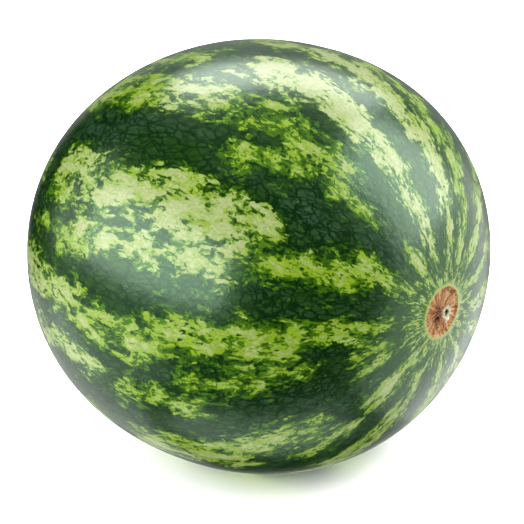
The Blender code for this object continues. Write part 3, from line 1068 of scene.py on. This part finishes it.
def add_sun(name, away, strength, width):
    """A light without an edge from that direction, which doesn't show in the skin's gloss."""
    turn = away.to_track_quat("Z", "Y").to_euler()
    bpy.ops.object.light_add(type="SUN", location=(0, 0, 2), rotation=turn)
    sun = bpy.context.object
    sun.name = name
    sun.data.energy = strength
    sun.data.angle = math.radians(width)
    sun.visible_glossy = False
    return sun


def light_floor(floor, strength):
    """Light from almost straight above for the floor alone, so that only a small shadow stays under the fruit."""
    lit = bpy.data.collections.new("lit_floor")
    lit.objects.link(floor)
    sun = add_sun("floor_light", direction(*FLOOR_LIGHT_PLACE), strength, FLOOR_LIGHT_WIDTH)
    sun.light_linking.receiver_collection = lit


def add_softbox(middle, brightness, name, right, up, distance, wide, high, level):
    """A rectangular soft light of an angular size, as the fruit sees it, that faces the fruit."""
    away = direction(right, up)
    bpy.ops.object.light_add(type="AREA", location=middle + away * distance)
    box = bpy.context.object
    box.name = name
    box.rotation_euler = away.to_track_quat("Z", "Y").to_euler()
    box.data.shape = "RECTANGLE"
    box.data.size = 2 * distance * math.tan(math.radians(wide / 2))
    box.data.size_y = 2 * distance * math.tan(math.radians(high / 2))
    box.data.energy = math.pi * box.data.size * box.data.size_y * level * brightness
    box.visible_camera = False


def set_backdrop(context):
    """White all round for the camera alone, so that the dark side of the studio stays dark in the gloss."""
    world = bpy.data.worlds.new("white backdrop")
    world.use_nodes = True
    background = world.node_tree.nodes["Background"]
    background.inputs["Color"].default_value = (1, 1, 1, 1)
    background.inputs["Strength"].default_value = 1.0
    world.cycles_visibility.diffuse = False
    world.cycles_visibility.glossy = False
    context.scene.world = world
    context.scene.view_settings.view_transform = "Standard"


def aim_camera(context, middle, settings):
    """Puts the camera where the photograph was taken from."""
    away = direction(0, CAMERA_UP)
    turn = away.to_track_quat("Z", "Y")
    right = turn @ Vector((1, 0, 0))
    up = turn @ Vector((0, 1, 0))
    place = middle + right * PICTURE_LEFT - up * PICTURE_ABOVE + away * settings.camera_distance
    bpy.ops.object.camera_add(location=place, rotation=turn.to_euler())
    camera = context.object
    camera.name = "photo_camera"
    camera.data.lens = settings.lens
    camera.data.sensor_width = SENSOR_WIDTH_MM
    context.scene.camera = camera


class MELON_OT_make_stage(Operator):
    """Sets the pale floor, the soft studio lights and the camera"""

    bl_idname = "melon.make_stage"
    bl_label = "Stage"

    def execute(self, context):
        settings = context.scene.melon_stage
        middle = Vector((-SPOT_AHEAD, 0, context.scene.melon_rind.height / 2 - SPOT_DEPTH))
        floor = add_floor()
        for softbox in SOFTBOXES:
            add_softbox(middle, settings.brightness, *softbox)
        add_sun("front_fill", direction(*FILL_PLACE), settings.fill, FILL_WIDTH)
        add_sun("floor_bounce", Vector((0, 0, -1)), settings.bounce, BOUNCE_WIDTH)
        light_floor(floor, settings.floor)
        set_backdrop(context)
        aim_camera(context, middle, settings)
        return {"FINISHED"}


class MELON_PT_panel(Panel):
    """Lists the operators that make the watermelon"""

    bl_idname = "MELON_PT_panel"
    bl_label = "Watermelon"
    bl_space_type = "VIEW_3D"
    bl_region_type = "UI"
    bl_category = "Watermelon"

    def draw(self, context):
        for operator in OPERATORS:
            self.layout.operator(operator.bl_idname)


SETTINGS = {
    "melon_rind": RindSettings,
    "melon_flower_base": FlowerBaseSettings,
    "melon_stem": StemSettings,
    "melon_stage": StageSettings,
}
OPERATORS = (MELON_OT_make_rind, MELON_OT_make_flower_base, MELON_OT_make_stem, MELON_OT_make_stage)


def register():
    for kind in (*SETTINGS.values(), *OPERATORS, MELON_PT_panel):
        bpy.utils.register_class(kind)
    for name, kind in SETTINGS.items():
        setattr(bpy.types.Scene, name, PointerProperty(type=kind))


def unregister():
    for name in SETTINGS:
        delattr(bpy.types.Scene, name)
    for kind in (MELON_PT_panel, *reversed(OPERATORS), *reversed(SETTINGS.values())):
        bpy.utils.unregister_class(kind)


def main():
    register()
    bpy.ops.melon.make_rind()
    bpy.ops.melon.make_flower_base()
    bpy.ops.melon.make_stem()
    bpy.ops.melon.make_stage()


if __name__ == "__main__":
    main()
